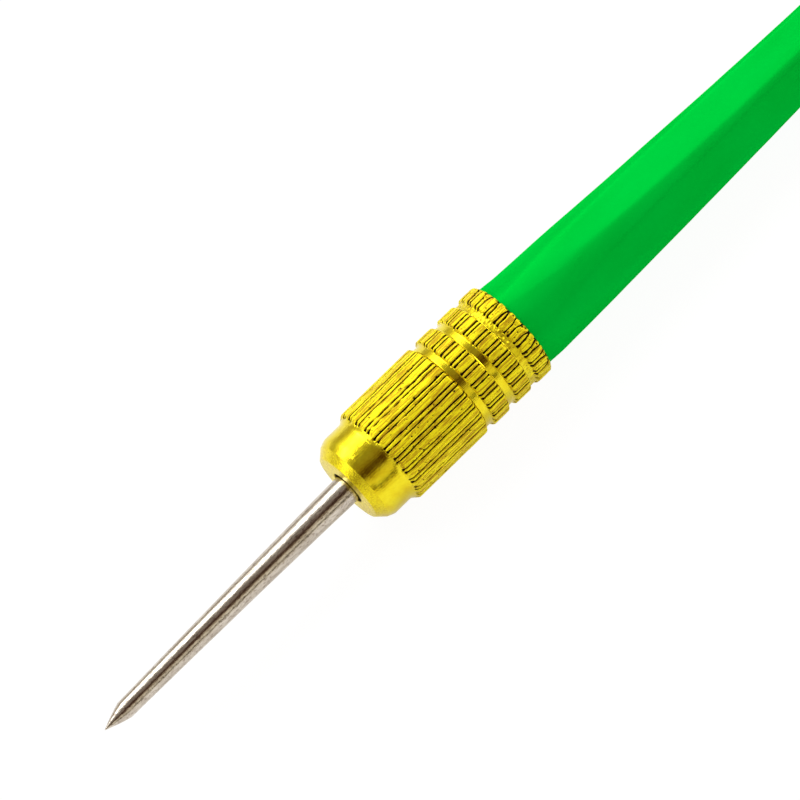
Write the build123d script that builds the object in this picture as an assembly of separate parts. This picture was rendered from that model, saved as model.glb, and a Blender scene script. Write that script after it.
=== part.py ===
from build123d import *
import math
import os

# A scratch awl for leatherwork: a tapered steel needle held by a brass chuck on a slim plastic handle.
# Lengths are in millimetres. A station is a distance along the tool's axis from the nose's front face,
# positive towards the butt. The solids are built about local Z, with the station as local Z, and then
# laid along +X.

# The whole tool
OVERALL_LENGTH = 130.0
NEEDLE_REACH = 33.0  # from the nose's front face to the tip
KNURL_R = 5.5  # from the axis to the plane that the tool lies on, which the teeth's edges touch

# The needle
SHANK_R = 1.5
SHANK_END = 20.0
POINT_SHOULDER_R = 0.95
POINT_LENGTH = 2.6
TIP_R = 0.06

# The nose of the chuck nut: a flat face, a chamfer, a smooth collar, and a flare up to the knurl
NOSE_FACE_R = 3.8
NOSE_CHAMFER_END = (0.9, 4.6)  # a station and a radius
COLLAR_START = 1.7
COLLAR_R = 4.9
COLLAR_END = 3.5
KNURL_START = 4.6
NEEDLE_HOLE_R = 1.75

# The rings and grooves turned behind the nose
NUT_END = 13.65
SEAM = 0.08  # the gap between the nut and the chuck's body
GROOVE_R = 5.0
SHALLOW_GROOVE_R = 5.15
BLANK_R = 5.6  # of the bar that the knurled parts are turned from
RING_CHAMFER = 0.25
RINGS = ((14.6, 16.65), (17.6, 19.6), (20.5, 22.4))  # the start and end of each knurled ring

# The knurl: wide flat teeth with a lower, narrow rib between them, and a V groove on each side of the
# rib. Widths are angles round the axis, in degrees.
KNURL_TEETH = 24
TOOTH_WIDTH = 8.8
RIB_WIDTH = 3.6
RIB_R = 5.44
KNURL_VALLEY_R = 5.3

# The screw thread between the nut and the chuck's body, a fine M8
THREAD_PITCH = 1.0
STUD_CREST_R = 3.95
STUD_ROOT_R = 3.4
STUD_FRONT = 7.6
STUD_THREAD = (8.0, 13.1)
NUT_THREAD = (8.5, 13.15)  # half a pitch from the stud's, so that the two threads mesh
THREAD_BASE = 0.7
THREAD_CREST = 0.22
THREAD_CLEARANCE = 0.1
THREAD_SINK = 0.05  # how far a thread's base reaches into its wall, so that the two join
THREAD_RUNOUT = 0.2  # the step between the nut's cone and its threaded bore
MOUTH_CHAMFER = 0.2
STUD_CHAMFER = 0.2

# The collet, a tube whose front is split into four jaws
COLLET_FRONT = 2.4
COLLET_NOSE_R = 2.25
COLLET_HEAD_R = 3.42
CONE_END = 6.8
COLLET_HEAD_END = 7.2
COLLET_SHANK_R = 2.5
COLLET_END = 26.0
COLLET_BORE_R = 1.53
SLIT_WIDTH = 0.45
SLIT_END = 16.0
CONE_GAP = 0.04
CONE_LEAD = 0.4  # how far the nut's cone starts in front of the collet
BORE_CLEARANCE = 0.05
DRILL_POINT = 118.0  # the angle in degrees of the cone at the bottom of the chuck body's bore

# The stem that holds the chuck's body in the handle
STEM_R = 3.3
BARB_R = 3.6
BARB_PITCH = 3.0
BARB_LENGTH = 1.2
BARBS = 3
BARBS_END = 31.5
STEM_END = 32.5
SOCKET_R = 4.95  # the shallow recess in the last ring that takes the handle's end
SOCKET_DEPTH = 1.0

# The handle: round at the chuck, then a soft hexagon that narrows to the butt
HANDLE_FRONT_R = 4.88
HANDLE_START = RINGS[-1][1]
HANDLE_FLATS = ((-3.0, 4.99), (34.5, 3.68), (55.0, 3.17), (77.0, 2.86))  # length, half across the flats
HANDLE_CORNERS = ((0.0, HANDLE_FRONT_R), (10.0, 4.86), (34.5, 4.09), (55.0, 3.54), (71.6, 3.2))
BUTT_CURVE = (73.6, 2.7)  # a point of the rounded butt, its length along the handle and its radius
BUTT_FACE_R = 1.5
SLAB_WIDTH = 20.0

# Where the tool lies in its own frame: +X towards the butt, the middle of its length at X = 0
NOSE_X = NEEDLE_REACH - OVERALL_LENGTH / 2
BUTT = OVERALL_LENGTH - NEEDLE_REACH


def placed(solid):
    """Lays a solid built about local Z along +X, resting on the plane Z = 0."""
    return Pos(NOSE_X, 0, KNURL_R) * Rot(0, 90, 0) * solid


def turned(*edges):
    """A solid of revolution from edges, in the plane of X and Z, that close an outline."""
    return revolve(make_face(Curve() + list(edges)), axis=Axis.Z)


def turned_points(points):
    """A solid of revolution from the (station, radius) corners of its outline."""
    outline = [(radius, 0, station) for station, radius in points]
    return revolve(make_face(Polyline(*outline, close=True)), axis=Axis.Z)


def at(station, radius):
    """The point of an outline at a station and a radius."""
    return (radius, 0, station)


def bar(radius, start, end):
    """A plain round bar between two stations."""
    return Pos(0, 0, start) * Cylinder(radius, end - start, align=(Align.CENTER, Align.CENTER, Align.MIN))


def knurl_bar(start, end):
    """A toothed bar, on which each rib is followed by a groove, a tooth and another groove."""
    pitch = 360 / KNURL_TEETH
    tooth_start = (pitch - TOOTH_WIDTH) / 2
    groove_middle = (RIB_WIDTH / 2 + tooth_start) / 2
    edge_r = KNURL_R / math.cos(math.radians(tooth_start))
    half_section = [(RIB_WIDTH / 2, RIB_R), (groove_middle, KNURL_VALLEY_R), (tooth_start, edge_r)]
    corners = []
    for tooth in range(KNURL_TEETH):
        rising = [(tooth * pitch + angle, radius) for angle, radius in half_section]
        falling = [((tooth + 1) * pitch - angle, radius) for angle, radius in reversed(half_section)]
        for angle, radius in rising + falling:
            turn = math.radians(angle)
            corners.append((radius * math.cos(turn), radius * math.sin(turn)))
    section = make_face(Polyline(*corners, close=True))
    return Pos(0, 0, start) * extrude(section, end - start)


def thread_ridge(root_r, crest_r, start, end):
    """A right-hand thread's ridge, swept along its helix between two stations. It points inwards where
    its crest is nearer the axis than its root."""
    helix = Helix(pitch=THREAD_PITCH, height=end - start, radius=root_r)
    plane = Plane(origin=helix @ 0, x_dir=(1, 0, 0), z_dir=helix % 0)
    height = crest_r - root_r
    half_base = THREAD_BASE / 2
    half_crest = THREAD_CREST / 2
    outline = [(0, -half_base), (height, -half_crest), (height, half_crest), (0, half_base)]
    section = plane * make_face(Polyline(*outline, close=True))
    return Pos(0, 0, start) * sweep(section, path=helix, is_frenet=True)


def needle():
    """A needle with a parallel shank inside the chuck, a long taper and a short conical point."""
    shoulder = -NEEDLE_REACH + POINT_LENGTH
    outline = [
        (-NEEDLE_REACH, 0),
        (-NEEDLE_REACH, TIP_R),
        (shoulder, POINT_SHOULDER_R),
        (0, SHANK_R),
        (SHANK_END, SHANK_R),
        (SHANK_END, 0),
    ]
    return turned_points(outline)


def collet():
    """A tube with a tapered head, split from the front into four spring jaws."""
    outline = [
        (COLLET_FRONT, COLLET_BORE_R),
        (COLLET_FRONT, COLLET_NOSE_R),
        (CONE_END, COLLET_HEAD_R),
        (COLLET_HEAD_END, COLLET_HEAD_R),
        (COLLET_HEAD_END, COLLET_SHANK_R),
        (COLLET_END, COLLET_SHANK_R),
        (COLLET_END, COLLET_BORE_R),
    ]
    tube = turned_points(outline)
    slit_length = SLIT_END - COLLET_FRONT + SLIT_WIDTH
    slit = Box(2 * KNURL_R, SLIT_WIDTH, slit_length, align=(Align.CENTER, Align.CENTER, Align.MAX))
    for turn in (45, 135):
        tube -= Pos(0, 0, SLIT_END) * Rot(0, 0, turn) * slit
    return tube


def nut_blank():
    """The outside of the chuck nut: chamfered nose, smooth collar, flare and the long knurled grip."""
    collar_start = at(COLLAR_START, COLLAR_R)
    collar_end = at(COLLAR_END, COLLAR_R)
    grip_end = at(NUT_END - RING_CHAMFER, BLANK_R)
    rim = at(NUT_END, BLANK_R - RING_CHAMFER)
    shell = turned(
        Line(at(NUT_END, 0), at(0, 0)),
        Line(at(0, 0), at(0, NOSE_FACE_R)),
        Line(at(0, NOSE_FACE_R), at(*NOSE_CHAMFER_END)),
        TangentArc(collar_start, at(*NOSE_CHAMFER_END), tangent=(0, 0, -1)),
        Line(collar_start, collar_end),
        TangentArc(collar_end, at(KNURL_START, BLANK_R), tangent=(0, 0, 1)),
        Line(at(KNURL_START, BLANK_R), grip_end),
        Line(grip_end, rim),
        Line(rim, at(NUT_END, 0)),
    )
    return shell & (bar(BLANK_R, -1, COLLAR_END) + knurl_bar(COLLAR_END, NUT_END + 1))


def chuck_nut():
    """The nut: its inner cone closes the collet's jaws, and its thread runs on the chuck's body."""
    minor_r = STUD_ROOT_R + THREAD_CLEARANCE
    major_r = STUD_CREST_R + THREAD_CLEARANCE
    cone_slope = (COLLET_HEAD_R - COLLET_NOSE_R) / (CONE_END - COLLET_FRONT)
    cone_front_r = COLLET_NOSE_R + CONE_GAP
    cone_back = COLLET_FRONT + (minor_r - cone_front_r) / cone_slope
    cone_front = COLLET_FRONT - CONE_LEAD
    cavity = turned_points(
        [
            (-1, 0),
            (-1, NEEDLE_HOLE_R),
            (cone_front, NEEDLE_HOLE_R),
            (cone_front, cone_front_r - CONE_LEAD * cone_slope),
            (cone_back, minor_r),
            (cone_back + THREAD_RUNOUT, major_r),
            (NUT_END - MOUTH_CHAMFER, major_r),
            (NUT_END, major_r + MOUTH_CHAMFER),
            (NUT_END + 1, major_r + MOUTH_CHAMFER),
            (NUT_END + 1, 0),
        ]
    )
    return nut_blank() - cavity + thread_ridge(major_r + THREAD_SINK, minor_r, *NUT_THREAD)


def stem_outline():
    """The barbed stem as (station, radius) corners, from the recess to the stem's end."""
    socket_floor = RINGS[-1][1] - SOCKET_DEPTH
    corners = [(socket_floor, STEM_R)]
    for barb in range(BARBS):
        barb_end = BARBS_END - (BARBS - 1 - barb) * BARB_PITCH
        corners.append((barb_end - BARB_LENGTH, STEM_R))
        corners.append((barb_end - BARB_LENGTH, BARB_R))
        corners.append((barb_end, STEM_R))
    corners.append((STEM_END, STEM_R))
    return corners


def chuck_body():
    """The chuck's body: threaded stud, three knurled rings between grooves, and a barbed stem."""
    front = NUT_END + SEAM
    corners = [(STUD_FRONT, 0), (STUD_FRONT, STUD_ROOT_R - STUD_CHAMFER)]
    corners.append((STUD_FRONT + STUD_CHAMFER, STUD_ROOT_R))
    corners += [(front, STUD_ROOT_R), (front, GROOVE_R)]
    grooves = (GROOVE_R, GROOVE_R, SHALLOW_GROOVE_R)
    for groove_r, (ring_start, ring_end) in zip(grooves, RINGS):
        corners.append((ring_start, groove_r))
        corners.append((ring_start, BLANK_R - RING_CHAMFER))
        corners.append((ring_start + RING_CHAMFER, BLANK_R))
        corners.append((ring_end - RING_CHAMFER, BLANK_R))
        corners.append((ring_end, BLANK_R - RING_CHAMFER))
        if ring_end != RINGS[-1][1]:
            next_groove_r = grooves[RINGS.index((ring_start, ring_end)) + 1]
            corners.append((ring_end, next_groove_r))
    corners.append((RINGS[-1][1], SOCKET_R))
    corners.append((RINGS[-1][1] - SOCKET_DEPTH, SOCKET_R))
    corners += stem_outline()
    corners.append((STEM_END, 0))
    blank = turned_points(corners) & (bar(STUD_CREST_R, 0, front) + knurl_bar(front, STEM_END + 1))
    thread = thread_ridge(STUD_ROOT_R - THREAD_SINK, STUD_CREST_R, *STUD_THREAD)
    bore_r = COLLET_SHANK_R + BORE_CLEARANCE
    bore_end = COLLET_END + BORE_CLEARANCE
    drill_point = bore_r / math.tan(math.radians(DRILL_POINT / 2))
    bore = turned_points(
        [(STUD_FRONT - 1, 0), (STUD_FRONT - 1, bore_r), (bore_end, bore_r), (bore_end + drill_point, 0)]
    )
    return blank + thread - bore


def handle_slab():
    """A slab whose two faces are one opposite pair of the hexagon's flats, curved along the handle."""
    upper = Spline(*[(half, 0, HANDLE_START + length) for length, half in HANDLE_FLATS])
    lower = mirror(upper, about=Plane.YZ)
    outline = [upper, Line(upper @ 1, lower @ 1), lower, Line(lower @ 0, upper @ 0)]
    return extrude(make_face(Curve() + outline), SLAB_WIDTH / 2, both=True)


def handle():
    """The handle: a turned shape with rounded corners, cut to six flats, moulded on the stem."""
    front = HANDLE_START - SOCKET_DEPTH
    corner_line = Spline(*[at(HANDLE_START + length, radius) for length, radius in HANDLE_CORNERS])
    curve_length, curve_r = BUTT_CURVE
    blank = turned(
        Line(at(front, 0), at(front, HANDLE_FRONT_R)),
        Line(at(front, HANDLE_FRONT_R), at(HANDLE_START, HANDLE_FRONT_R)),
        corner_line,
        ThreePointArc(corner_line @ 1, at(HANDLE_START + curve_length, curve_r), at(BUTT, BUTT_FACE_R)),
        Line(at(BUTT, BUTT_FACE_R), at(BUTT, 0)),
        Line(at(BUTT, 0), at(front, 0)),
    )
    for turn in (0, 60, 120):
        blank &= Rot(0, 0, turn) * handle_slab()
    stem = turned_points([(front, 0)] + stem_outline() + [(STEM_END, 0)])
    return blank - stem


os.makedirs("parts", exist_ok=True)
NODES = {
    "needle": needle,
    "collet": collet,
    "chuck_nut": chuck_nut,
    "chuck_body": chuck_body,
    "handle": handle,
}
for name, make in NODES.items():
    export_step(placed(make()), f"parts/{name}.step")
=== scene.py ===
import math

import bpy
import numpy as np
from mathutils import Matrix, Vector


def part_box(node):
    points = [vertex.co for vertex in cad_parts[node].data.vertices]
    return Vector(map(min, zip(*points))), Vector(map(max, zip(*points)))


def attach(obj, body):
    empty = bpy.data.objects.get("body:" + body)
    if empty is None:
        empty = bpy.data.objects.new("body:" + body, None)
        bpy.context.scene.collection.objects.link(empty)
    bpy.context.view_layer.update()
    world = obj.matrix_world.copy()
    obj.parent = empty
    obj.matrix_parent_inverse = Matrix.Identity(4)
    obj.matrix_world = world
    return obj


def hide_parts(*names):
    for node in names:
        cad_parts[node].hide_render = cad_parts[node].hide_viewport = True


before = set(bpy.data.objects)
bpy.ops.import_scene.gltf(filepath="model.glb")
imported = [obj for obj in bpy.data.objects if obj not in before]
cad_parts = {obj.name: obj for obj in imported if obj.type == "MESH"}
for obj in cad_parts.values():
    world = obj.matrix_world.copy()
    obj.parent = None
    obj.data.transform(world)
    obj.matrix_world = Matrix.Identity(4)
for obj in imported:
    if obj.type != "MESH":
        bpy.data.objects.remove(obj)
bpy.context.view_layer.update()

# Lengths are in metres, in the frame of the CAD model: the tool's axis lies along X, with the needle's
# tip towards -X and the handle's butt towards +X, and Z is up. A station is a distance along the axis
# from the nose's front face, positive towards the butt. Angles go round the axis from +Y towards +Z.
MM = 0.001

NUT_LOW, NUT_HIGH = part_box("chuck_nut")
BODY_LOW, BODY_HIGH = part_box("chuck_body")
NEEDLE_LOW, NEEDLE_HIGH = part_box("needle")
HANDLE_LOW, HANDLE_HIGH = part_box("handle")

NOSE_X = NUT_LOW.x
AXIS_Z = (NUT_LOW.z + NUT_HIGH.z) / 2
KNURL_R = (NUT_HIGH.z - NUT_LOW.z) / 2
TIP = NEEDLE_LOW.x - NOSE_X
SHANK_END = NEEDLE_HIGH.x - NOSE_X
NUT_END = NUT_HIGH.x - NOSE_X
STUD_FRONT = BODY_LOW.x - NOSE_X
STEM_END = BODY_HIGH.x - NOSE_X
HANDLE_FRONT = HANDLE_LOW.x - NOSE_X
BUTT = HANDLE_HIGH.x - NOSE_X

# The chuck's stations and radii
SHANK_R = 1.5 * MM
HOLE_R = 1.75 * MM
NOSE_FACE_R = 3.8 * MM
NOSE_CHAMFER_R = 4.6 * MM
NOSE_CHAMFER_END = 0.9 * MM
COLLAR_START = 1.7 * MM
COLLAR_R = 4.9 * MM
COLLAR_END = 3.5 * MM
KNURL_START = 4.6 * MM
SEAM = 0.08 * MM
GROOVE_R = 5.1 * MM
SHALLOW_GROOVE_R = 5.2 * MM
RINGS = ((14.6 * MM, 16.65 * MM), (17.6 * MM, 19.6 * MM), (20.5 * MM, 22.4 * MM))
RECESS_R = 4.95 * MM
RECESS_DEPTH = 1.0 * MM
STEM_R = 3.3 * MM
STUD_ROOT_R = 3.4 * MM
STUD_CREST_R = 3.95 * MM
THREAD_PITCH = 1.0 * MM
BORE_R = 2.55 * MM
BORE_END = 26.05 * MM
DRILL_TIP = 26.8 * MM  # the cone that the drill leaves at the bore's end
NUT_THREAD = (8.1 * MM, 13.1 * MM)
STUD_THREAD = (7.75 * MM, 13.3 * MM)
LAND_WEAR = 0.008 * MM

# The knurl: wide teeth, with a narrow and slightly lower rib between each two. A furrow darkened with painted
# shade lies on each side of the rib. One rib faces the floor.
TEETH = 24
PITCH = 2 * math.pi / TEETH
FURROW_ANGLE = math.radians(2.45)  # from the middle of a rib
FURROW_WIDTH = math.radians(1.75)
FURROW_DEPTH = 0.2 * MM
RIB_DROP = 0.035 * MM
COLUMNS = 32 * TEETH
CORE_COLUMNS = COLUMNS // 8

# The needle's point, and the handle: lengths along it in millimetres, with half the width across its flats
# or its corners. Both pieces are slightly bent, to the same side.
POINT_LENGTH = 2.7 * MM
SHOULDER_R = 0.96 * MM
TIP_R = 0.02 * MM
SHANK_CHAMFER = 0.25 * MM
HANDLE_R = 4.88 * MM
HANDLE_START = RINGS[-1][1]
HANDLE_FLATS = ((-3, 4.99), (10, 4.62), (34.5, 3.68), (55, 3.17), (77, 2.86))
HANDLE_CORNERS = ((0, 4.88), (10, 4.86), (34.5, 4.09), (55, 3.54), (74.6, 3.16))
BUTT_ROUNDING = 3.0 * MM
BUTT_FACE_R = 1.5 * MM
HANDLE_BOW = 0.38 * MM
NEEDLE_BOW = 0.38 * MM
BOW_SIDE = (-math.cos(math.radians(30)), -math.sin(math.radians(30)))  # in Y and Z

# The camera looks along the tool a little from its point, at one ridge of the hexagonal handle.
VIEW_RISE = math.radians(60.0)  # of the ridge that faces the camera, above the horizontal
VIEW_LEAN = math.radians(10.6)  # of the tool's point towards the camera
VIEW_ROLL = math.radians(44.17)  # of the tool in the picture
CAMERA_DISTANCE = 0.6
CAMERA_FIELD = 76.9 * MM  # the width of what is in view at the tool
AIM_STATION = 9.64 * MM
AIM_OFFSET = 2.57 * MM
SENSOR = 36.0  # millimetres, the camera's usual unit for it
FLOOR_HALF = 4.0
LIGHT_SIZE = 0.3


# ---------------------------------------------------------------- meshes


def mesh_object(name, points, faces, smooth=True):
    """A mesh object from arrays of points and faces."""
    mesh = bpy.data.meshes.new(name)
    mesh.from_pydata([tuple(p) for p in points], [], [tuple(f) for f in faces])
    mesh.update()
    if smooth:
        mesh.shade_smooth()
    obj = bpy.data.objects.new(name, mesh)
    bpy.context.scene.collection.objects.link(obj)
    return obj


def ring_points(stations, angles, radii):
    """Points on rings about the tool's axis: radii has a row for each station and a column for each angle."""
    x = NOSE_X + np.repeat(np.asarray(stations)[:, None], len(angles), axis=1)
    y = radii * np.cos(angles)[None, :]
    z = AXIS_Z + radii * np.sin(angles)[None, :]
    return np.stack([x, y, z], axis=-1).reshape(-1, 3)


def ring_faces(rows, columns, start=0):
    """Quads between successive rings of points, facing outwards where stations increase."""
    row = np.arange(rows - 1)[:, None] * columns
    column = np.arange(columns)[None, :]
    after = (column + 1) % columns
    a = row + column
    b = row + after
    c = row + columns + after
    d = row + columns + column
    return (np.stack([a, b, c, d], axis=-1).reshape(-1, 4) + start).tolist()


def fan_faces(fine_start, fine_count, coarse_start, coarse_count, flip):
    """Triangles between a fine ring and a coarse one, whose counts are in a whole ratio."""
    ratio = fine_count // coarse_count
    faces = []
    for k in range(coarse_count):
        here = coarse_start + k
        after = coarse_start + (k + 1) % coarse_count
        for j in range(ratio):
            a = fine_start + k * ratio + j
            b = fine_start + (k * ratio + j + 1) % fine_count
            faces.append((a, b, here if j < ratio / 2 else after))
            if j == ratio // 2:
                faces.append((a, after, here))
    if flip:
        faces = [tuple(reversed(f)) for f in faces]
    return faces


def angles_of(count):
    return np.arange(count) * 2 * math.pi / count


def wrapped(angle):
    """An angle brought to within half a turn of zero."""
    return (angle + math.pi) % (2 * math.pi) - math.pi


def knurl_angles():
    """The columns' angles, which lie closer together at the furrows."""
    fine = np.linspace(0, PITCH, 2001)
    weight = np.ones(len(fine))
    for furrow in (FURROW_ANGLE, PITCH - FURROW_ANGLE):
        weight += 3.5 * np.exp(-0.5 * ((fine - furrow) / math.radians(0.5)) ** 2)
    total = np.concatenate([[0], np.cumsum((weight[1:] + weight[:-1]) / 2)])
    per_tooth = COLUMNS // TEETH
    one_tooth = np.interp(np.arange(per_tooth) / per_tooth, total / total[-1], fine)
    return np.concatenate([tooth * PITCH + one_tooth for tooth in range(TEETH)])


FINE_ANGLES = knurl_angles()
CORE_ANGLES = FINE_ANGLES[:: COLUMNS // CORE_COLUMNS]


def along_runs(points, stations):
    """The radius at each station along straight runs between (station, radius) points."""
    x, y = zip(*points)
    return np.interp(stations, x, y)


def smoothstep(low, high, value):
    t = np.clip((value - low) / (high - low), 0, 1)
    return t * t * (3 - 2 * t)


def wander(source, stations, wavelength, terms=4):
    """Smooth noise along the stations, about -1 to 1."""
    total = np.zeros(len(stations))
    for k in range(terms):
        frequency = 2 * math.pi / wavelength * source.uniform(0.5, 1.9)
        total += np.sin(stations * frequency + source.uniform(0, 2 * math.pi)) * source.uniform(0.4, 1.0)
    return total / terms * 1.4


def surface_noise(source, stations, angles, wavelength, radius, terms=14):
    """Smooth noise over rings of the given radius, about -1 to 1."""
    total = np.zeros((len(stations), len(angles)))
    turns = max(1, round(2 * math.pi * radius / wavelength))
    for k in range(terms):
        along = 2 * math.pi / wavelength * source.uniform(-1, 1)
        round_axis = source.integers(-turns, turns + 1)
        phase = source.uniform(0, 2 * math.pi)
        total += np.sin(stations[:, None] * along + angles[None, :] * round_axis + phase)
    return total / math.sqrt(terms)


class Relief:
    """What is cut into a brass surface: depth in metres and painted shade from 0 to 1, at each point of its
    rings.
    """

    def __init__(self, stations, seed):
        self.stations = stations
        self.depth = np.zeros((len(stations), COLUMNS))
        self.crevice_shade = np.zeros((len(stations), COLUMNS))
        self.source = np.random.default_rng(seed)

    def patch(self, start, end, angle, reach):
        """The rows and columns near a place on the surface, and the columns' angles from that place."""
        rows = np.where((self.stations >= start) & (self.stations <= end))[0]
        off = wrapped(FINE_ANGLES - angle)
        columns = np.where(np.abs(off) <= reach)[0]
        return rows, columns, off[columns]

    def cut(self, rows, columns, shape, depth, crevice_shade):
        """Takes the deeper of what is there and a new cut, whose shape is 0 to 1, and the darker of their
        painted shade.
        """
        where = np.ix_(rows, columns)
        self.depth[where] = np.maximum(self.depth[where], shape * depth)
        self.crevice_shade[where] = np.maximum(self.crevice_shade[where], np.clip(shape * crevice_shade, 0, 1))

    def furrow(self, start, end, angle, width, depth, bend=0.0, waves=0.0,
               breaks=0.0, flare=(0, 0), crevice_shade=1.5):
        """One furrow along the tool. Bend is how far round it has turned at its end, flare how much wider
        it is at each end, and breaks how much of it is missing, more towards its front."""
        rows, columns, off = self.patch(start, end, angle, 2 * width + abs(bend) + 2 * waves)
        if len(rows) == 0:
            return
        s = self.stations[rows]
        run = (s - start) / (end - start)
        centre = waves * wander(self.source, s, 3.0 * MM) + bend * smoothstep(0.5, 1.0, run)
        opening = 1 + flare[0] * np.exp(-(((s - start) / (0.22 * MM)) ** 2))
        opening += flare[1] * np.exp(-(((end - s) / (0.12 * MM)) ** 2))
        half = width * opening * (1 + 0.2 * wander(self.source, s, 1.3 * MM)) / 2
        missing = breaks * (1 - 0.75 * smoothstep(0.3, 0.8, run))
        missing = missing * (0.45 + 0.9 * wander(self.source, s, 1.9 * MM))
        strength = np.clip(1 - np.clip(missing, 0, 1), 0, 1)
        across = np.abs(off[None, :] - centre[:, None]) / half[:, None]
        shape = np.clip(1.2 - across, 0, 1) ** 0.7 * strength[:, None]
        self.cut(rows, columns, np.clip(shape, 0, 1), depth, crevice_shade)

    def pit(self, station, angle, length, width, depth, crevice_shade=1.0):
        """A small hollow, with its length and width in metres, and painted shade in it."""
        reach = 1.3 * length
        rows, columns, off = self.patch(station - reach, station + reach, angle, 1.3 * width / KNURL_R)
        if len(rows) == 0 or len(columns) == 0:
            return
        off_along = (self.stations[rows] - station) / length
        off_round = off * KNURL_R / width
        shape = np.exp(-2.5 * (off_along[:, None] ** 2 + off_round[None, :] ** 2))
        self.cut(rows, columns, shape, depth, crevice_shade)


def knurl_rows(start, end, step):
    count = max(2, int(round((end - start) / step)) + 1)
    return np.linspace(start, end, count)


def ribs(stations, angles):
    """How much of a point is on a rib between two teeth, 0 to 1."""
    off = np.abs((angles + PITCH / 2) % PITCH - PITCH / 2)
    share = 1 - smoothstep(FURROW_ANGLE - math.radians(0.4), FURROW_ANGLE + math.radians(0.2), off)
    return np.repeat(share[None, :], len(stations), axis=0)


def paired_furrows(relief, start, end, waves, breaks, flare, faintness=0.0):
    """A furrow on each side of every rib."""
    source = relief.source
    for tooth in range(TEETH):
        for side in (-1, 1):
            relief.furrow(
                start + source.uniform(-0.06, 0.1) * MM,
                end,
                tooth * PITCH + side * FURROW_ANGLE + source.normal(0, math.radians(0.12)),
                FURROW_WIDTH * source.uniform(0.85, 1.15),
                FURROW_DEPTH * source.uniform(0.85, 1.0),
                waves=waves,
                breaks=breaks * source.uniform(0.1, 1.3),
                flare=flare,
                crevice_shade=1.5 - faintness * source.uniform(0, 1),
            )


def scatter_pits(relief, start, end, count, size, depth, crevice_shade=(0.5, 1.2)):
    source = relief.source
    for k in range(count):
        relief.pit(
            source.uniform(start, end),
            source.uniform(0, 2 * math.pi),
            size * source.uniform(0.6, 1.5),
            size * source.uniform(0.6, 1.1),
            depth * source.uniform(0.5, 1.0),
            crevice_shade=source.uniform(*crevice_shade),
        )


def closed_tool_part(name, stations, radii, inner, crevice_shade, worn, hole_shade=()):
    """A closed solid: fine rings outside, and coarse rings for what lies before and behind them. Inner is
    a list of (station, radius) rings that go from the last fine ring round to the first."""
    points = [ring_points(stations, FINE_ANGLES, radii)]
    faces = ring_faces(len(stations), COLUMNS)
    core_start = len(stations) * COLUMNS
    for station, radius in inner:
        radius = np.asarray(radius) * np.ones(CORE_COLUMNS)
        points.append(ring_points([station], CORE_ANGLES, radius[None, :]))
    faces += ring_faces(len(inner), CORE_COLUMNS, core_start)
    last_fine = (len(stations) - 1) * COLUMNS
    last_core = core_start + (len(inner) - 1) * CORE_COLUMNS
    faces += fan_faces(last_fine, COLUMNS, core_start, CORE_COLUMNS, flip=False)
    faces += fan_faces(0, COLUMNS, last_core, CORE_COLUMNS, flip=True)
    obj = mesh_object(name, np.concatenate(points), faces)
    # Point attributes: painted shade in the furrows, pits and hollows, and how worn the brass is.
    for label, fine in (("crevice_shade", crevice_shade), ("worn", worn)):
        attribute = obj.data.attributes.new(label, "FLOAT", "POINT")
        values = np.zeros(len(obj.data.vertices), np.float32)
        values[: fine.size] = fine.reshape(-1)
        if label == "worn":
            values[fine.size :] = 0.5
        elif hole_shade:
            # Painted shade on the last inner rings, inside the needle's hole and round its edge.
            values[-CORE_COLUMNS * len(hole_shade) :] = np.repeat(hole_shade, CORE_COLUMNS)
        attribute.data.foreach_set("value", values)
    return obj


def thread_rings(root_r, crest_r, start, end, phase):
    """Rings whose radii follow a right-hand screw thread that fades in and out at its ends."""
    per_pitch = 10
    rows = knurl_rows(start, end, THREAD_PITCH / per_pitch)
    rings = []
    for station in rows:
        turn = (station / THREAD_PITCH - CORE_ANGLES / (2 * math.pi) + phase) % 1.0
        height = np.clip(1.35 - np.abs(turn - 0.5) * 5.0, 0, 1)
        fade = min(1.0, (station - start) / (0.4 * THREAD_PITCH), (end - station) / (0.4 * THREAD_PITCH))
        rings.append((station, root_r + (crest_r - root_r) * height * max(0.0, fade)))
    return rings


# ---------------------------------------------------------------- brass pieces


def nut_profile(stations):
    """The nut's outer radius before knurling: flat face, chamfer, smooth collar, flare and grip."""
    edge = 0.06 * MM
    chamfer = np.interp(stations, [0, NOSE_CHAMFER_END], [NOSE_FACE_R, NOSE_CHAMFER_R])
    chamfer = chamfer - edge * (1 - np.sqrt(np.clip(1 - np.clip(1 - stations / edge, 0, 1) ** 2, 0, 1)))
    swing = np.clip((COLLAR_START - stations) / (COLLAR_START - NOSE_CHAMFER_END), 0, 1)
    collar = COLLAR_R - (COLLAR_R - NOSE_CHAMFER_R) * swing**1.25
    radius = np.where(stations <= NOSE_CHAMFER_END, chamfer, collar)
    run = np.clip((stations - COLLAR_END) / (KNURL_START - COLLAR_END), 0, 1)
    flare = (KNURL_R - COLLAR_R) * (0.35 * run**2 + 0.65 * smoothstep(0.15, 1.0, run))
    radius = np.where(stations > COLLAR_END, COLLAR_R + flare, radius)
    back = np.clip((stations - (NUT_END - 0.2 * MM)) / (0.2 * MM), 0, 1)
    return radius - 0.2 * MM * back**2


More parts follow.
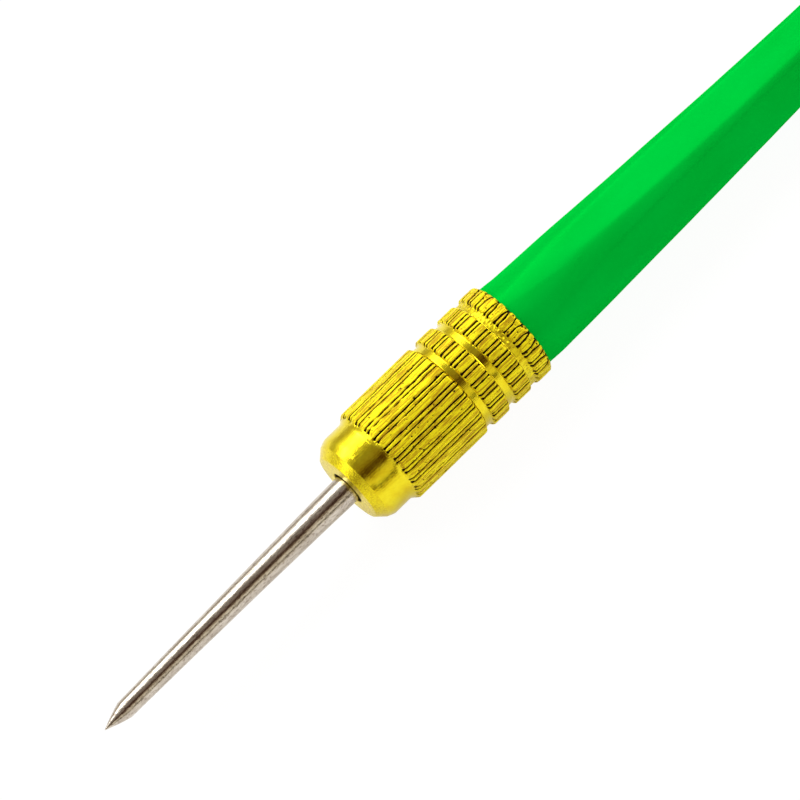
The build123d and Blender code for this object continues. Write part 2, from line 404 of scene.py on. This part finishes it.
def make_chuck_nut():
    """The chuck nut, with its worn straight knurl."""
    # Where each run of rings starts and ends, in millimetres, and how many rings it has
    runs = ((0, 0.07, 4), (0.07, 0.87, 5), (0.87, 0.93, 4), (0.93, 1.7, 7))
    runs += ((1.7, 3.5, 5), (3.5, 4.6, 14), (4.6, 13.4, 78))
    stations = [np.linspace(start, end, count)[:-1] * MM for start, end, count in runs]
    stations = np.concatenate(stations + [np.linspace(13.4 * MM, NUT_END, 6)])
    relief = Relief(stations, 11)
    source = relief.source
    paired_furrows(relief, 4.12 * MM, NUT_END + 0.1 * MM, math.radians(0.38), 0.8, (1.6, 0.4), 0.3)
    scatter_pits(relief, 4.9 * MM, NUT_END - 0.6 * MM, 90, 0.16 * MM, 0.14 * MM, (0.8, 1.4))
    scatter_pits(relief, 4.7 * MM, 10.0 * MM, 260, 0.09 * MM, 0.07 * MM, (0.5, 1.3))
    scatter_pits(relief, 4.7 * MM, NUT_END - 0.2 * MM, 160, 0.09 * MM, 0.06 * MM, (0.4, 1.2))
    base = nut_profile(stations)
    on_grip = smoothstep(KNURL_START - 0.75 * MM, KNURL_START - 0.1 * MM, stations)[:, None]
    lands = surface_noise(source, stations, FINE_ANGLES, 1.6 * MM, KNURL_R, 20)
    cuts = relief.depth * on_grip + RIB_DROP * on_grip * ribs(stations, FINE_ANGLES)
    radii = base[:, None] - cuts - LAND_WEAR * on_grip * (1 + np.clip(lands, -1, 1))
    # Painted shade in the furrows and pits, only where the knurl is.
    crevice_shade = relief.crevice_shade * smoothstep(4.05 * MM, 4.3 * MM, stations)[:, None]
    worn = np.repeat(smoothstep(4.05 * MM, 4.45 * MM, stations)[:, None], COLUMNS, axis=1)
    worn = np.maximum(worn, 0.35 * (stations < NOSE_CHAMFER_END + 0.01 * MM)[:, None])
    inner = [(NUT_END, STUD_CREST_R + 0.3 * MM), (NUT_END - 0.2 * MM, STUD_CREST_R + 0.1 * MM)]
    thread = thread_rings(STUD_CREST_R + 0.1 * MM, STUD_ROOT_R + 0.1 * MM, *NUT_THREAD, 0.5)
    inner += list(reversed(thread))
    inner += [(7.4 * MM, STUD_CREST_R + 0.1 * MM), (7.2 * MM, STUD_ROOT_R + 0.1 * MM)]
    inner += [(2.0 * MM, 2.2 * MM), (2.0 * MM, HOLE_R), (0.12 * MM, HOLE_R)]
    inner += [(0, HOLE_R + 0.1 * MM), (0, HOLE_R + 0.3 * MM)]
    # The last four values are painted shade on the needle's hole and on the nose face just round it.
    return closed_tool_part("chuck_nut_brass", stations, radii, inner, crevice_shade, worn, (1.0, 0.8, 0.4, 0.0))


def body_profile(stations):
    """The chuck body's outer radius before knurling, from the seam to the handle."""
    lip = 0.13 * MM
    front = NUT_END + SEAM
    points = [(front, GROOVE_R - 0.05 * MM), (front + 0.05 * MM, GROOVE_R)]
    depths = (GROOVE_R, GROOVE_R, SHALLOW_GROOVE_R)
    for index, (start, end) in enumerate(RINGS):
        points += [(start - 0.08 * MM, depths[index]), (start, KNURL_R - lip), (start + lip, KNURL_R)]
        points += [(end - lip, KNURL_R), (end, KNURL_R - lip)]
        if index < 2:
            points.append((end + 0.08 * MM, depths[index + 1]))
    return along_runs(points, stations)


def crimped_furrows(relief, start, end):
    """The last ring's furrows: straight at its front, and bent together or apart where it is crimped."""
    source = relief.source
    for tooth in range(TEETH):
        together = source.uniform() < 0.6
        for side in (-1, 1):
            bend = -side * FURROW_ANGLE * source.uniform(0.6, 1.2)
            if not together:
                bend = side * FURROW_ANGLE * source.uniform(0.2, 1.1)
            relief.furrow(
                start - 0.06 * MM,
                end + 0.03 * MM,
                tooth * PITCH + side * FURROW_ANGLE + source.normal(0, math.radians(0.2)),
                FURROW_WIDTH * source.uniform(0.8, 1.25),
                FURROW_DEPTH * source.uniform(0.8, 1.0),
                bend=bend,
                waves=math.radians(0.25),
                breaks=0.35,
                flare=(0.7, 1.4),
                crevice_shade=1.4,
            )
    for k in range(70):
        station = end - abs(source.normal(0, 0.13)) * MM
        size = source.uniform(0.1, 0.3) * MM
        angle = source.uniform(0, 2 * math.pi)
        relief.pit(station, angle, 0.6 * size, size, source.uniform(0.08, 0.3) * MM, 1.1)


def make_chuck_body():
    """The chuck's body: three knurled rings between turned grooves, its stud and its stem."""
    front = NUT_END + SEAM
    end = RINGS[-1][1]
    stations = np.unique(np.concatenate([knurl_rows(front, end, 0.085 * MM), [s for r in RINGS for s in r]]))
    relief = Relief(stations, 23)
    source = relief.source
    for start, stop in RINGS[:2]:
        paired_furrows(relief, start - 0.02 * MM, stop + 0.05 * MM, math.radians(0.1), 0.25, (0.7, 0.7))
        scatter_pits(relief, start, stop, 60, 0.1 * MM, 0.08 * MM, (0.4, 1.2))
    crimped_furrows(relief, *RINGS[2])
    scatter_pits(relief, RINGS[1][1] + 0.1 * MM, RINGS[2][0], 90, 0.12 * MM, 0.08 * MM, (0.2, 0.9))
    scatter_pits(relief, RINGS[2][0], RINGS[2][1], 170, 0.12 * MM, 0.11 * MM, (0.4, 1.3))
    base = body_profile(stations)
    on_ring = np.zeros(len(stations))
    for low, high in RINGS:
        rise = smoothstep(low - 0.09 * MM, low + 0.02 * MM, stations)
        fall = 1 - smoothstep(high - 0.02 * MM, high + 0.09 * MM, stations)
        on_ring = np.maximum(on_ring, rise * fall)
    rough_groove = smoothstep(RINGS[1][1] + 0.1 * MM, RINGS[1][1] + 0.25 * MM, stations)
    lands = surface_noise(source, stations, FINE_ANGLES, 1.4 * MM, KNURL_R, 20)
    scraps = surface_noise(source, stations, FINE_ANGLES, 0.5 * MM, KNURL_R, 30)
    cutting = np.maximum(on_ring, rough_groove)[:, None]
    cuts = relief.depth * cutting + RIB_DROP * on_ring[:, None] * ribs(stations, FINE_ANGLES)
    cuts = cuts + LAND_WEAR * on_ring[:, None] * (1 + np.clip(lands, -1, 1))
    cuts = cuts + 0.03 * MM * (rough_groove * (1 - on_ring))[:, None] * np.clip(scraps, -1, 1)
    crimp = smoothstep(end - 0.35 * MM, end, stations)[:, None]
    cuts = cuts + 0.05 * MM * crimp * (1 + np.clip(scraps, -1, 1))
    radii = base[:, None] - cuts
    # Painted shade in the furrows and pits of the rings and of the rough groove.
    crevice_shade = relief.crevice_shade * cutting
    worn = np.repeat(np.maximum(on_ring, 0.5 * rough_groove)[:, None], COLUMNS, axis=1)
    recess_floor = end - RECESS_DEPTH
    inner = [(end, RECESS_R), (recess_floor, RECESS_R), (recess_floor, STEM_R), (STEM_END - 0.3 * MM, STEM_R)]
    inner += [(STEM_END, STEM_R - 0.3 * MM), (STEM_END, 0.5 * MM), (DRILL_TIP, 0.05 * MM)]
    inner += [(BORE_END, BORE_R), (STUD_FRONT, BORE_R), (STUD_FRONT, STUD_ROOT_R - 0.15 * MM)]
    inner += thread_rings(STUD_ROOT_R, STUD_CREST_R, *STUD_THREAD, 0.0)
    inner += [(front, STUD_ROOT_R), (front, GROOVE_R - 0.4 * MM)]
    return closed_tool_part("chuck_body_brass", stations, radii, inner, crevice_shade, worn)


# ---------------------------------------------------------------- needle and handle


def make_needle():
    """The needle: a long taper, a slightly convex point, and a parallel shank."""
    columns = 96
    shoulder = TIP + POINT_LENGTH
    point = np.linspace(0, 1, 22)
    taper = np.linspace(0, 1, 60)[1:]
    stations = np.concatenate(
        [
            TIP + point**1.3 * (shoulder - TIP),
            shoulder + taper * (0 - shoulder),
            [SHANK_END - SHANK_CHAMFER, SHANK_END],
        ]
    )
    run = np.clip((stations - TIP) / (shoulder - TIP), 0, 1)
    point_r = TIP_R + (SHOULDER_R - TIP_R) * (1.18 * run - 0.18 * run**2.2)
    taper_r = SHOULDER_R + (SHANK_R - SHOULDER_R) * np.clip((stations - shoulder) / (0 - shoulder), 0, 1)
    radii = np.where(stations < shoulder, point_r, taper_r)
    radii[-1] -= SHANK_CHAMFER
    angles = angles_of(columns)
    source = np.random.default_rng(5)
    swell = surface_noise(source, stations, angles, 7 * MM, SHANK_R, 10)
    grid = radii[:, None] * (1 + 0.004 * swell)
    grid = np.minimum(grid, SHANK_R)
    points = ring_points(stations, angles, grid)
    bow = NEEDLE_BOW * np.repeat(np.clip(stations / TIP, 0, 1) ** 1.6, columns)
    points[:, 1:] += bow[:, None] * np.array(BOW_SIDE)
    faces = ring_faces(len(stations), columns)
    tip_ring = list(range(columns))
    end_ring = list(range((len(stations) - 1) * columns, len(stations) * columns))
    faces.append(tuple(reversed(tip_ring)))
    faces.append(tuple(end_ring))
    return mesh_object("needle_steel", points, faces)


def handle_section(angles, half_flat, corner_r, softness):
    """The polar radius of a round bar cut to six flats, with softened edges and a corner at angle 0."""
    sector = math.pi / 3
    from_flat = np.abs(angles % sector - sector / 2)
    flat = half_flat / np.cos(from_flat)
    return -softness * np.log(np.exp(-flat / softness) + np.exp(-corner_r / softness))


def make_handle():
    """The moulded handle: round in the chuck, then a hexagon with soft corners, and a rounded butt."""
    columns = 240
    angles = angles_of(columns)
    grip = np.linspace(HANDLE_START, BUTT - BUTT_ROUNDING, 170)
    stations = np.concatenate([[HANDLE_FRONT, HANDLE_FRONT + 0.02 * MM], grip])
    source = np.random.default_rng(9)
    lengths = (stations - HANDLE_START) / MM
    flat_curve = np.polyfit(*zip(*HANDLE_FLATS), 3)
    corner_curve = np.polyfit(*zip(*HANDLE_CORNERS), 3)
    rows = []
    for length in lengths:
        half_flat = np.polyval(flat_curve, max(length, 0)) * MM
        corner_r = min(np.polyval(corner_curve, max(length, 0)) * MM, HANDLE_R)
        softness = (0.035 + 0.13 * (1 - float(smoothstep(0, 14, length)))) * MM
        rows.append(handle_section(angles, half_flat, corner_r, softness) + 0.6 * softness)
    radii = np.minimum(np.array(rows), HANDLE_R)
    swell = surface_noise(source, stations, angles, 11 * MM, 4 * MM, 14)
    ripple = surface_noise(source, stations, angles, 3.2 * MM, 4 * MM, 22)
    along = smoothstep(HANDLE_START + 0.2 * MM, HANDLE_START + 4 * MM, stations)[:, None]
    radii = radii - along * (0.018 * MM * (1 + np.clip(swell, -1, 1)) + 0.004 * MM * ripple)
    from_parting_line = np.minimum(np.abs(angles - math.pi), np.minimum(angles, 2 * math.pi - angles))
    seam = np.exp(-((from_parting_line / 0.03) ** 2))
    radii = radii + along * seam[None, :] * 0.025 * MM
    radii = np.minimum(radii, HANDLE_R)
    cap_turns = np.linspace(0, 1, 14)[1:]
    last = radii[-1]
    cap_stations = []
    cap_rows = []
    for turn in cap_turns:
        swing = turn * math.pi / 2
        cap_stations.append(BUTT - BUTT_ROUNDING + BUTT_ROUNDING * math.sin(swing))
        cap_rows.append(BUTT_FACE_R + (last - BUTT_FACE_R) * math.cos(swing) ** 0.8)
    stations = np.concatenate([stations, cap_stations])
    radii = np.concatenate([radii, cap_rows])
    points = ring_points(stations, angles, radii)
    reach = np.clip((stations - HANDLE_START) / (BUTT - HANDLE_START), 0, 1)
    lean = 0.33 * smoothstep(0, 2.5 * MM, stations - HANDLE_START) * (1 - smoothstep(0.3, 1.0, reach))
    bow = HANDLE_BOW * np.repeat(lean + 0.9 * np.sin(math.pi * reach) ** 1.3, columns)
    points[:, 1:] += bow[:, None] * np.array(BOW_SIDE)
    faces = ring_faces(len(stations), columns)
    centre = len(points)
    rings_total = len(stations) * columns
    points = np.concatenate([points, [[NOSE_X + BUTT, 0, AXIS_Z]]])
    last_row = rings_total - columns
    for k in range(columns):
        faces.append((last_row + k, last_row + (k + 1) % columns, centre))
    inner = [(HANDLE_FRONT, STEM_R), (STEM_END, STEM_R)]
    inner_start = len(points)
    inner_points = [ring_points([s], angles, np.full((1, columns), r)) for s, r in inner]
    points = np.concatenate([points] + inner_points + [[[NOSE_X + STEM_END, 0, AXIS_Z]]])
    hole_end = inner_start + columns
    hole_centre = inner_start + 2 * columns
    for k in range(columns):
        after = (k + 1) % columns
        faces.append((k, inner_start + k, inner_start + after, after))
        faces.append((inner_start + k, hole_end + k, hole_end + after, inner_start + after))
        faces.append((hole_end + k, hole_centre, hole_end + after))
    return mesh_object("handle_green", points, faces)


# ---------------------------------------------------------------- materials


class Nodes:
    """A short way to build a node material."""

    def __init__(self, name):
        self.material = bpy.data.materials.new(name)
        self.material.use_nodes = True
        self.tree = self.material.node_tree
        self.shader = self.tree.nodes["Principled BSDF"]
        self.place = self.add("ShaderNodeTexCoord").outputs["Object"]

    def add(self, kind, **settings):
        node = self.tree.nodes.new(kind)
        for key, value in settings.items():
            setattr(node, key, value)
        return node

    def link(self, source, target):
        self.tree.links.new(source, target)

    def stretched(self, scale):
        """The object's coordinates, scaled along each axis."""
        node = self.add("ShaderNodeMapping")
        node.inputs["Scale"].default_value = scale
        self.link(self.place, node.inputs["Vector"])
        return node.outputs["Vector"]

    def noise(self, scale, detail=3.0, roughness=0.55, vector=None):
        node = self.add("ShaderNodeTexNoise")
        node.inputs["Scale"].default_value = scale
        node.inputs["Detail"].default_value = detail
        node.inputs["Roughness"].default_value = roughness
        self.link(vector or self.place, node.inputs["Vector"])
        return node.outputs["Fac"]

    def ramp(self, value, *stops):
        node = self.add("ShaderNodeValToRGB")
        elements = node.color_ramp.elements
        while len(elements) < len(stops):
            elements.new(0.5)
        for element, (position, colour) in zip(elements, stops):
            element.position = position
            element.color = (*colour, 1)
        self.link(value, node.inputs["Fac"])
        return node.outputs["Color"]

    def range(self, value, low, high, to_low, to_high):
        node = self.add("ShaderNodeMapRange")
        for key, number in (("From Min", low), ("From Max", high), ("To Min", to_low), ("To Max", to_high)):
            node.inputs[key].default_value = number
        self.link(value, node.inputs["Value"])
        return node.outputs["Result"]

    def maths(self, operation, a, b):
        node = self.add("ShaderNodeMath", operation=operation)
        for socket, value in zip(node.inputs, (a, b)):
            if isinstance(value, (int, float)):
                socket.default_value = value
            else:
                self.link(value, socket)
        return node.outputs["Value"]

    def mix(self, factor, a, b):
        node = self.add("ShaderNodeMix", data_type="RGBA")
        for socket, value in ((node.inputs[0], factor), (node.inputs[6], a), (node.inputs[7], b)):
            if isinstance(value, tuple):
                socket.default_value = (*value, 1)
            elif isinstance(value, (int, float)):
                socket.default_value = value
            else:
                self.link(value, socket)
        return node.outputs[2]

    def attribute(self, name):
        node = self.add("ShaderNodeAttribute", attribute_name=name)
        return node.outputs["Fac"]

    def bump(self, height, distance, strength=1.0, before=None):
        node = self.add("ShaderNodeBump")
        node.inputs["Strength"].default_value = strength
        node.inputs["Distance"].default_value = distance
        self.link(height, node.inputs["Height"])
        if before is not None:
            self.link(before, node.inputs["Normal"])
        return node.outputs["Normal"]

    def finish(self, colour, roughness, normal, plain):
        self.link(colour, self.shader.inputs["Base Color"])
        self.link(roughness, self.shader.inputs["Roughness"])
        self.link(normal, self.shader.inputs["Normal"])
        for key, value in plain.items():
            self.shader.inputs[key].default_value = value
        return self.material


def brass_material():
    """Bright yellow brass: polished on the collar and grooves, dull on the knurl, with near-black painted
    shade in its furrows, pits and hollows.
    """
    n = Nodes("brass")
    crevice_shade = n.attribute("crevice_shade")
    worn = n.attribute("worn")
    patches = n.noise(900, 4, 0.6)
    mottle = n.noise(2700, 3, 0.6)
    fine = n.noise(5200, 3, 0.6)
    streaks = n.noise(1.0, 3, 0.6, n.stretched((450, 6500, 6500)))
    browner = (0.3, (0.78, 0.60, 0.014))
    brighter = (0.75, (0.88, 0.76, 0.03))
    metal = n.ramp(patches, browner, (0.55, (0.84, 0.70, 0.02)), brighter)
    dull = n.mix(n.range(streaks, 0.4, 0.56, 0.95, 0.0), (0.98, 0.86, 0.012), (0.52, 0.31, 0.008))
    metal = n.mix(worn, metal, dull)
    speck = n.maths("MULTIPLY", n.range(fine, 0.6, 0.7, 0.0, 0.7), n.range(worn, 0.0, 1.0, 0.3, 1.0))
    stained = n.mix(speck, metal, (0.40, 0.2, 0.008))
    # Near-black painted shade in the furrows, pits and hollows, which also makes them rougher.
    painted_shade = n.range(crevice_shade, 0.2, 0.7, 0.0, 1.0)
    colour = n.mix(painted_shade, stained, (0.02, 0.005, 0.001))
    turning = n.noise(1.0, 2, 0.5, n.stretched((16000, 700, 700)))
    polished = n.range(patches, 0.3, 0.8, 0.10, 0.2)
    rough = n.maths("ADD", polished, n.maths("MULTIPLY", worn, 0.34))
    rough = n.maths("ADD", rough, n.maths("MULTIPLY", painted_shade, 0.4))
    n.link(n.range(worn, 0.0, 1.0, 1.0, 0.45), n.shader.inputs["Metallic"])
    normal = n.bump(turning, 0.003 * MM, 0.5)
    normal = n.bump(streaks, 0.02 * MM, 0.6, normal)
    normal = n.bump(mottle, 0.018 * MM, 0.6, normal)
    normal = n.bump(patches, 0.03 * MM, 0.6, normal)
    return n.finish(colour, rough, normal, {"Specular IOR Level": 0.08})


def needle_material():
    """Polished steel, with fine lengthwise grinding marks, small stains and a slightly pitted plating."""
    n = Nodes("polished_steel")
    marks = n.noise(1.0, 3, 0.6, n.stretched((500, 9000, 9000)))
    patches = n.noise(1.0, 4, 0.6, n.stretched((500, 1400, 1400)))
    pitting = n.noise(1.0, 3, 0.65, n.stretched((2600, 6500, 6500)))
    colour = n.ramp(patches, (0.35, (0.50, 0.44, 0.37)), (0.6, (0.66, 0.60, 0.52)), (0.8, (0.74, 0.70, 0.64)))
    stain = n.range(pitting, 0.52, 0.66, 0.0, 0.7)
    colour = n.mix(stain, colour, (0.20, 0.14, 0.11))
    rough = n.range(marks, 0.3, 0.75, 0.06, 0.18)
    normal = n.bump(marks, 0.002 * MM, 0.4)
    normal = n.bump(pitting, 0.02 * MM, 0.7, normal)
    normal = n.bump(patches, 0.02 * MM, 0.5, normal)
    return n.finish(colour, rough, normal, {"Metallic": 1.0})


def collet_material():
    """Turned spring steel, grey and a little rough."""
    n = Nodes("turned_steel")
    turning = n.noise(1.0, 2, 0.5, n.stretched((9000, 500, 500)))
    colour = n.ramp(turning, (0.3, (0.30, 0.30, 0.31)), (0.7, (0.46, 0.46, 0.47)))
    rough = n.range(turning, 0.3, 0.7, 0.25, 0.42)
    return n.finish(colour, rough, n.bump(turning, 0.01 * MM, 0.6), {"Metallic": 1.0})


def plastic_material():
    """Green moulded plastic with a soft gloss, faint flow marks and a few specks."""
    n = Nodes("green_plastic")
    flow = n.noise(1.0, 3, 0.5, n.stretched((90, 260, 260)))
    fine = n.noise(2600, 2, 0.5)
    colour = n.ramp(flow, (0.3, (0.0, 0.47, 0.035)), (0.7, (0.0, 0.51, 0.043)))
    speck = n.range(n.noise(420, 1, 0.4), 0.795, 0.81, 0.0, 1.0)
    colour = n.mix(speck, colour, (0.0, 0.10, 0.03))
    rough = n.range(flow, 0.3, 0.7, 0.26, 0.36)
    normal = n.bump(fine, 0.004 * MM, 0.4)
    normal = n.bump(flow, 0.05 * MM, 0.4, normal)
    gloss = {"Specular Tint": (0.0, 1.0, 0.5, 1), "Specular IOR Level": 0.0, "Metallic": 0.15}
    return n.finish(colour, rough, normal, gloss)


def floor_material():
    """A pale, plain studio floor, lit from below where it is seen, as a light table is."""
    n = Nodes("pale_floor")
    seen = n.add("ShaderNodeLightPath").outputs["Is Camera Ray"]
    n.link(n.mix(seen, (0.6, 0.6, 0.6), (0.07, 0.07, 0.07)), n.shader.inputs["Base Color"])
    n.link(n.range(seen, 0, 1, 0.35, 0.95), n.shader.inputs["Emission Strength"])
    n.shader.inputs["Roughness"].default_value = 0.9
    n.shader.inputs["Specular IOR Level"].default_value = 0.0
    n.shader.inputs["Emission Color"].default_value = (1.0, 1.0, 1.0, 1)
    return n.material


# ---------------------------------------------------------------- camera, light and floor


def view_directions():
    """Unit vectors from the tool to the camera, and across the tool's axis in the picture."""
    across_axis = Vector((0, -math.cos(VIEW_RISE), math.sin(VIEW_RISE)))
    back = across_axis * math.cos(VIEW_LEAN) - Vector((1, 0, 0)) * math.sin(VIEW_LEAN)
    along = Vector((1, 0, 0)) - back * back.x
    along.normalize()
    return back, along, back.cross(along)


def make_camera():
    back, along, beside = view_directions()
    right = along * math.cos(VIEW_ROLL) - beside * math.sin(VIEW_ROLL)
    up = along * math.sin(VIEW_ROLL) + beside * math.cos(VIEW_ROLL)
    data = bpy.data.cameras.new("camera")
    data.sensor_width = SENSOR
    data.lens = SENSOR * CAMERA_DISTANCE / CAMERA_FIELD
    data.clip_start = 0.01
    data.clip_end = 20
    camera = bpy.data.objects.new("camera", data)
    aim = Vector((NOSE_X + AIM_STATION, 0, AXIS_Z)) + beside * AIM_OFFSET
    turn = Matrix((right, up, back)).transposed().to_4x4()
    camera.matrix_world = Matrix.Translation(aim + back * CAMERA_DISTANCE) @ turn
    bpy.context.scene.collection.objects.link(camera)
    bpy.context.scene.camera = camera


def make_world():
    """Soft studio surroundings, in bands round the tool's axis, and plain white where they show."""
    world = bpy.data.worlds.new("studio")
    bpy.context.scene.world = world
    world.use_nodes = True
    tree = world.node_tree
    tree.nodes.clear()

    def add(kind, **settings):
        node = tree.nodes.new(kind)
        for key, value in settings.items():
            setattr(node, key, value)
        return node

    place = add("ShaderNodeTexCoord").outputs["Generated"]
    parts = []
    towards_camera = (0, -math.cos(VIEW_RISE), math.sin(VIEW_RISE))
    over_camera = (0, math.sin(VIEW_RISE), math.cos(VIEW_RISE))
    for direction in (towards_camera, over_camera):
        dot = add("ShaderNodeVectorMath", operation="DOT_PRODUCT")
        dot.inputs[1].default_value = direction
        tree.links.new(place, dot.inputs[0])
        parts.append(dot.outputs["Value"])
    angle = add("ShaderNodeMath", operation="ARCTAN2")
    tree.links.new(parts[1], angle.inputs[0])
    tree.links.new(parts[0], angle.inputs[1])
    share = add("ShaderNodeMapRange")
    share.inputs["From Min"].default_value = -math.pi
    share.inputs["From Max"].default_value = math.pi
    tree.links.new(angle.outputs["Value"], share.inputs["Value"])
    # Degrees round the tool's axis from the camera's side, and the brightness there
    bands = (
        (-62, (0.90, 0.82, 0.66)),
        (-54, (0.85, 0.78, 0.62)),
        (-51, (0.04, 0.035, 0.03)),
        (-46, (0.04, 0.035, 0.03)),
        (-43, (0.80, 0.75, 0.62)),
        (-34, (0.85, 0.80, 0.66)),
        (-24, (0.72, 0.64, 0.50)),
        (-18, (0.35, 0.28, 0.18)),
        (-10, (0.08, 0.035, 0.02)),
        (0, (0.06, 0.03, 0.02)),
        (8, (0.20, 0.14, 0.11)),
        (16, (0.33, 0.28, 0.24)),
        (30, (0.28, 0.25, 0.22)),
        (38, (0.46, 0.44, 0.40)),
        (48, (0.65, 0.63, 0.58)),
        (56, (0.95, 0.95, 0.92)),
        (64, (1.8, 1.8, 1.8)),
        (67, (3.8, 3.8, 3.8)),
        (74, (3.8, 3.8, 3.8)),
        (80, (1.9, 1.9, 1.9)),
        (90, (1.15, 1.13, 1.05)),
        (98, (0.70, 0.66, 0.58)),
        (106, (0.52, 0.48, 0.42)),
        (118, (0.60, 0.54, 0.46)),
    )
    ramp = add("ShaderNodeValToRGB")
    elements = ramp.color_ramp.elements
    while len(elements) < len(bands):
        elements.new(0.5)
    for element, (degrees, colour) in zip(elements, bands):
        element.position = degrees / 360 + 0.5
        element.color = (*colour, 1)
    tree.links.new(share.outputs["Result"], ramp.inputs["Fac"])
    glow = add("ShaderNodeBackground")
    tree.links.new(ramp.outputs["Color"], glow.inputs["Color"])
    plain = add("ShaderNodeBackground")
    plain.inputs["Color"].default_value = (1, 1, 1, 1)
    path = add("ShaderNodeLightPath")
    both = add("ShaderNodeMixShader")
    tree.links.new(path.outputs["Is Camera Ray"], both.inputs["Fac"])
    tree.links.new(glow.outputs["Background"], both.inputs[1])
    tree.links.new(plain.outputs["Background"], both.inputs[2])
    out = add("ShaderNodeOutputWorld")
    tree.links.new(both.outputs["Shader"], out.inputs["Surface"])


def add_area_light(name, place, power):
    """A square light that faces the middle of the tool."""
    data = bpy.data.lights.new(name, "AREA")
    data.size = LIGHT_SIZE
    data.energy = power
    light = bpy.data.objects.new(name, data)
    bpy.context.scene.collection.objects.link(light)
    light.location = place
    light.rotation_euler = (-Vector(place)).to_track_quat("-Z", "Y").to_euler()


def make_floor():
    corners = ((-1, -1), (1, -1), (1, 1), (-1, 1))
    points = [(x * FLOOR_HALF, y * FLOOR_HALF, 0) for x, y in corners]
    floor = mesh_object("floor", points, [(0, 1, 2, 3)], smooth=False)
    floor.data.materials.append(floor_material())


def dress(obj, material, body, node):
    """Gives a piece its material and its body, and hides the CAD node that it stands for."""
    obj.data.materials.clear()
    obj.data.materials.append(material)
    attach(obj, body)
    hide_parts(node)


make_camera()
make_world()
make_floor()
add_area_light("key", (-0.1, 0.25, 0.4), 0.6)
add_area_light("fill", (0.45, -0.21, 0.36), 1.3)

brass = brass_material()
dress(make_chuck_nut(), brass, "chuck_nut", "chuck_nut")
dress(make_chuck_body(), brass, "handle_and_body", "chuck_body")
dress(make_needle(), needle_material(), "needle", "needle")
dress(make_handle(), plastic_material(), "handle_and_body", "handle")
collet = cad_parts["collet"]
collet.data.materials.clear()
collet.data.materials.append(collet_material())

bpy.context.scene.view_settings.view_transform = "Standard"
